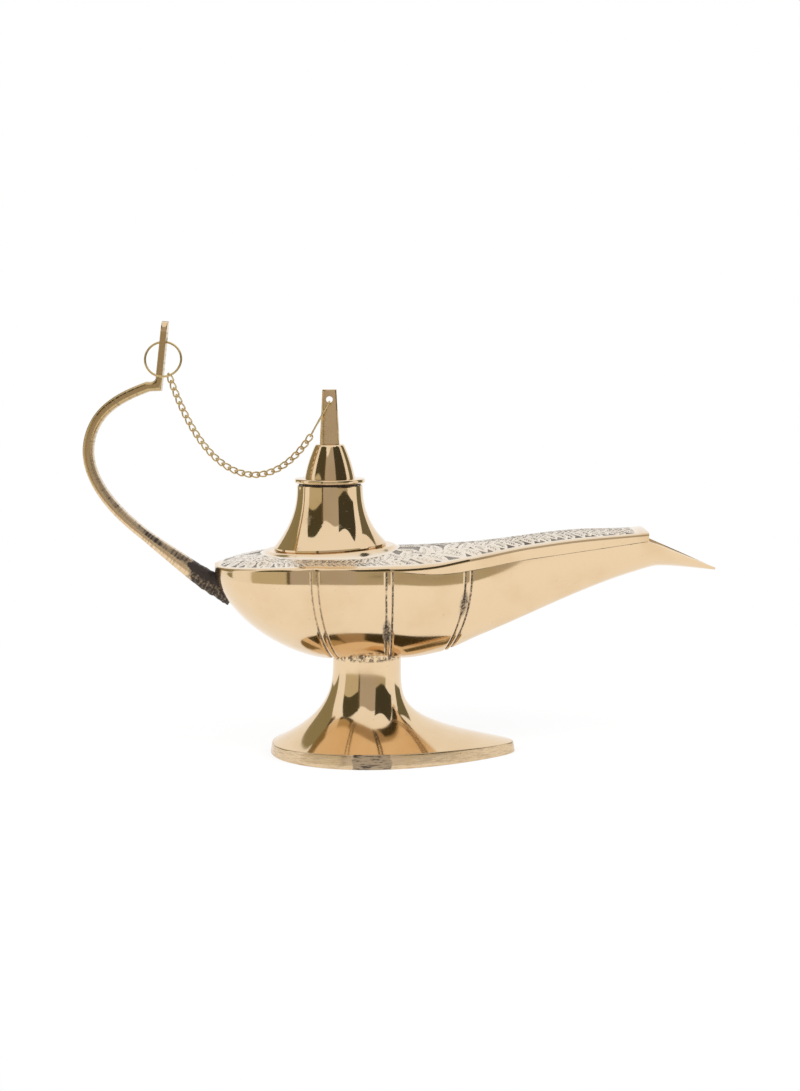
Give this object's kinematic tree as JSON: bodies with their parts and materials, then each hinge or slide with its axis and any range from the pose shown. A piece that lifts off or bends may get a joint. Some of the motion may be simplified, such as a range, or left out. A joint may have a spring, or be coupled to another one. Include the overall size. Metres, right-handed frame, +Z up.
{
  "type": "oil lamp",
  "caption": "Footed brass oil lamp: fluted bowl with a long open-lipped spout, flat deck, bell neck, plugged cone lid on a chain, and a looped strap handle.",
  "frame": {"origin": "on the surface the lamp stands on, under the middle of its outer box", "axes": "+Z up, +X along the spout, handle on the -X side, Y = 0 is the plane of symmetry of the castings"},
  "size_m": [0.2544, 0.08, 0.1744],
  "materials": {
    "cast_brass": "polished",
    "turned_brass": "polished",
    "brass_wire": "drawn"
  },
  "bodies": {
    "lamp": {"foot": "cast_brass", "bowl": "cast_brass", "deck": "cast_brass", "neck": "turned_brass", "handle": "cast_brass"},
    "lid": {"lid": "turned_brass"},
    "hook": {"hook": "brass_wire"},
    "ring": {"ring": "brass_wire"},
    "link_01": {"chain_link_01": "brass_wire"},
    "link_02": {"chain_link_02": "brass_wire"},
    "link_03": {"chain_link_03": "brass_wire"},
    "link_04": {"chain_link_04": "brass_wire"},
    "link_05": {"chain_link_05": "brass_wire"},
    "link_06": {"chain_link_06": "brass_wire"},
    "link_07": {"chain_link_07": "brass_wire"},
    "link_08": {"chain_link_08": "brass_wire"},
    "link_09": {"chain_link_09": "brass_wire"},
    "link_10": {"chain_link_10": "brass_wire"},
    "link_11": {"chain_link_11": "brass_wire"},
    "link_12": {"chain_link_12": "brass_wire"},
    "link_13": {"chain_link_13": "brass_wire"},
    "link_14": {"chain_link_14": "brass_wire"},
    "link_15": {"chain_link_15": "brass_wire"},
    "link_16": {"chain_link_16": "brass_wire"},
    "link_17": {"chain_link_17": "brass_wire"},
    "link_18": {"chain_link_18": "brass_wire"},
    "link_19": {"chain_link_19": "brass_wire"},
    "link_20": {"chain_link_20": "brass_wire"},
    "link_21": {"chain_link_21": "brass_wire"},
    "link_22": {"chain_link_22": "brass_wire"},
    "link_23": {"chain_link_23": "brass_wire"},
    "link_24": {"chain_link_24": "brass_wire"},
    "link_25": {"chain_link_25": "brass_wire"},
    "link_26": {"chain_link_26": "brass_wire"},
    "link_27": {"chain_link_27": "brass_wire"},
    "link_28": {"chain_link_28": "brass_wire"}
  },
  "joints": [
    {"name": "lid_lift", "type": "slide", "parent": "lamp", "child": "lid", "axis": [0, 0, 1], "range_m": [0, 0.016]},
    {"name": "hook_swing", "type": "hinge", "parent": "lid", "child": "hook", "pos_m": [-0.02835, 0, 0.14245], "axis": [0, -1, 0], "range_deg": [0, 7.01]},
    {"name": "ring_turn", "type": "hinge", "parent": "lamp", "child": "ring", "pos_m": [-0.09444, -0.00222, 0.1593], "axis": [0, 0.9511, -0.309], "continuous": true},
    {"name": "link_01_swing", "type": "hinge", "parent": "lamp", "child": "link_01", "pos_m": [-0.09185, -0.0043, 0.15288], "axis": [0.0126, -0.9999, 0], "range_deg": [0, 3.6]},
    {"name": "link_02_swing", "type": "hinge", "parent": "lamp", "child": "link_02", "pos_m": [-0.09176, -0.0043, 0.15265], "axis": [0.0126, -0.9999, 0], "range_deg": [0, 3.96]},
    {"name": "link_03_swing", "type": "hinge", "parent": "lamp", "child": "link_03", "pos_m": [-0.09155, -0.0043, 0.15214], "axis": [0.0126, -0.9999, 0], "range_deg": [0, 4.41]},
    {"name": "link_04_swing", "type": "hinge", "parent": "lamp", "child": "link_04", "pos_m": [-0.09124, -0.00429, 0.15136], "axis": [0.0126, -0.9999, 0], "range_deg": [0, 4.94]},
    {"name": "link_05_swing", "type": "hinge", "parent": "lamp", "child": "link_05", "pos_m": [-0.0908, -0.00429, 0.15033], "axis": [0.0126, -0.9999, 0], "range_deg": [0, 5.56]},
    {"name": "link_06_swing", "type": "hinge", "parent": "lamp", "child": "link_06", "pos_m": [-0.09023, -0.00428, 0.14905], "axis": [0.0126, -0.9999, 0], "range_deg": [0, 6.3]},
    {"name": "link_07_swing", "type": "hinge", "parent": "lamp", "child": "link_07", "pos_m": [-0.08953, -0.00427, 0.14755], "axis": [0.0126, -0.9999, 0], "range_deg": [0, 7.19]},
    {"name": "link_08_swing", "type": "hinge", "parent": "lamp", "child": "link_08", "pos_m": [-0.08869, -0.00426, 0.14584], "axis": [0.0126, -0.9999, 0], "range_deg": [0, 8.25]},
    {"name": "link_09_swing", "type": "hinge", "parent": "lamp", "child": "link_09", "pos_m": [-0.08771, -0.00425, 0.14395], "axis": [0.0126, -0.9999, 0], "range_deg": [0, 9.52]},
    {"name": "link_10_swing", "type": "hinge", "parent": "lamp", "child": "link_10", "pos_m": [-0.08658, -0.00424, 0.14193], "axis": [0.0126, -0.9999, 0], "range_deg": [0, 11.04]},
    {"name": "link_11_swing", "type": "hinge", "parent": "lamp", "child": "link_11", "pos_m": [-0.08532, -0.00422, 0.13983], "axis": [0.0126, -0.9999, 0], "range_deg": [0, 12.84]},
    {"name": "link_12_swing", "type": "hinge", "parent": "lamp", "child": "link_12", "pos_m": [-0.08393, -0.0042, 0.13773], "axis": [0.0126, -0.9999, 0], "range_deg": [0, 14.94]},
    {"name": "link_13_swing", "type": "hinge", "parent": "lamp", "child": "link_13", "pos_m": [-0.08247, -0.00418, 0.1357], "axis": [0.0126, -0.9999, 0], "range_deg": [0, 17.31]},
    {"name": "link_14_swing", "type": "hinge", "parent": "lamp", "child": "link_14", "pos_m": [-0.08099, -0.00417, 0.13386], "axis": [0.0126, -0.9999, 0], "range_deg": [0, 19.8]},
    {"name": "link_15_swing", "type": "hinge", "parent": "lamp", "child": "link_15", "pos_m": [-0.07961, -0.00415, 0.13233], "axis": [0.0126, -0.9999, 0], "range_deg": [0, 22.2]},
    {"name": "link_16_swing", "type": "hinge", "parent": "lamp", "child": "link_16", "pos_m": [-0.07848, -0.00413, 0.13123], "axis": [0.0126, -0.9999, 0], "range_deg": [0, 24.12]},
    {"name": "link_17_swing", "type": "hinge", "parent": "lamp", "child": "link_17", "pos_m": [-0.07781, -0.00413, 0.13066], "axis": [0.0126, -0.9999, 0], "range_deg": [0, 25.18]},
    {"name": "link_18_swing", "type": "hinge", "parent": "lamp", "child": "link_18", "pos_m": [-0.07787, -0.00413, 0.13069], "axis": [0.0126, -0.9999, 0], "range_deg": [0, 25.13]},
    {"name": "link_19_swing", "type": "hinge", "parent": "lamp", "child": "link_19", "pos_m": [-0.07896, -0.00414, 0.13134], "axis": [0.0126, -0.9999, 0], "range_deg": [0, 23.93]},
    {"name": "link_20_swing", "type": "hinge", "parent": "lamp", "child": "link_20", "pos_m": [-0.08138, -0.00417, 0.13256], "axis": [0.0126, -0.9999, 0], "range_deg": [0, 21.87]},
    {"name": "link_21_swing", "type": "hinge", "parent": "lamp", "child": "link_21", "pos_m": [-0.08541, -0.00422, 0.13428], "axis": [0.0126, -0.9999, 0], "range_deg": [0, 19.34]},
    {"name": "link_22_swing", "type": "hinge", "parent": "lamp", "child": "link_22", "pos_m": [-0.09128, -0.00429, 0.13639], "axis": [0.0126, -0.9999, 0], "range_deg": [0, 16.71]},
    {"name": "link_23_swing", "type": "hinge", "parent": "lamp", "child": "link_23", "pos_m": [-0.09916, -0.00439, 0.13879], "axis": [0.0126, -0.9999, 0], "range_deg": [0, 14.25]},
    {"name": "link_24_swing", "type": "hinge", "parent": "lamp", "child": "link_24", "pos_m": [-0.10917, -0.00452, 0.14136], "axis": [0.0126, -0.9999, 0], "range_deg": [0, 12.08]},
    {"name": "link_25_swing", "type": "hinge", "parent": "lamp", "child": "link_25", "pos_m": [-0.1214, -0.00467, 0.14401], "axis": [0.0126, -0.9999, 0], "range_deg": [0, 10.23]},
    {"name": "link_26_swing", "type": "hinge", "parent": "lamp", "child": "link_26", "pos_m": [-0.1359, -0.00486, 0.14669], "axis": [0.0126, -0.9999, 0], "range_deg": [0, 8.69]},
    {"name": "link_27_swing", "type": "hinge", "parent": "lamp", "child": "link_27", "pos_m": [-0.15273, -0.00507, 0.14933], "axis": [0.0126, -0.9999, 0], "range_deg": [0, 7.42]},
    {"name": "link_28_swing", "type": "hinge", "parent": "lamp", "child": "link_28", "pos_m": [-0.17098, -0.0053, 0.15176], "axis": [0.0126, -0.9999, 0], "range_deg": [0, 6.42]}
  ],
  "couplings": [
    {"joint": "hook_swing", "follows": "lid_lift", "rad_per_m": 7.6358},
    {"joint": "link_01_swing", "follows": "lid_lift", "rad_per_m": 3.9104},
    {"joint": "link_02_swing", "follows": "lid_lift", "rad_per_m": 4.3048},
    {"joint": "link_03_swing", "follows": "lid_lift", "rad_per_m": 4.794},
    {"joint": "link_04_swing", "follows": "lid_lift", "rad_per_m": 5.3682},
    {"joint": "link_05_swing", "follows": "lid_lift", "rad_per_m": 6.0463},
    {"joint": "link_06_swing", "follows": "lid_lift", "rad_per_m": 6.8517},
    {"joint": "link_07_swing", "follows": "lid_lift", "rad_per_m": 7.8133},
    {"joint": "link_08_swing", "follows": "lid_lift", "rad_per_m": 8.9658},
    {"joint": "link_09_swing", "follows": "lid_lift", "rad_per_m": 10.349},
    {"joint": "link_10_swing", "follows": "lid_lift", "rad_per_m": 12.005},
    {"joint": "link_11_swing", "follows": "lid_lift", "rad_per_m": 13.971},
    {"joint": "link_12_swing", "follows": "lid_lift", "rad_per_m": 16.258},
    {"joint": "link_13_swing", "follows": "lid_lift", "rad_per_m": 18.829},
    {"joint": "link_14_swing", "follows": "lid_lift", "rad_per_m": 21.55},
    {"joint": "link_15_swing", "follows": "lid_lift", "rad_per_m": 24.153},
    {"joint": "link_16_swing", "follows": "lid_lift", "rad_per_m": 26.247},
    {"joint": "link_17_swing", "follows": "lid_lift", "rad_per_m": 27.407},
    {"joint": "link_18_swing", "follows": "lid_lift", "rad_per_m": 27.342},
    {"joint": "link_19_swing", "follows": "lid_lift", "rad_per_m": 26.045},
    {"joint": "link_20_swing", "follows": "lid_lift", "rad_per_m": 23.799},
    {"joint": "link_21_swing", "follows": "lid_lift", "rad_per_m": 21.04},
    {"joint": "link_22_swing", "follows": "lid_lift", "rad_per_m": 18.181},
    {"joint": "link_23_swing", "follows": "lid_lift", "rad_per_m": 15.5},
    {"joint": "link_24_swing", "follows": "lid_lift", "rad_per_m": 13.137},
    {"joint": "link_25_swing", "follows": "lid_lift", "rad_per_m": 11.127},
    {"joint": "link_26_swing", "follows": "lid_lift", "rad_per_m": 9.451},
    {"joint": "link_27_swing", "follows": "lid_lift", "rad_per_m": 8.0662},
    {"joint": "link_28_swing", "follows": "lid_lift", "rad_per_m": 6.9733}
  ]
}
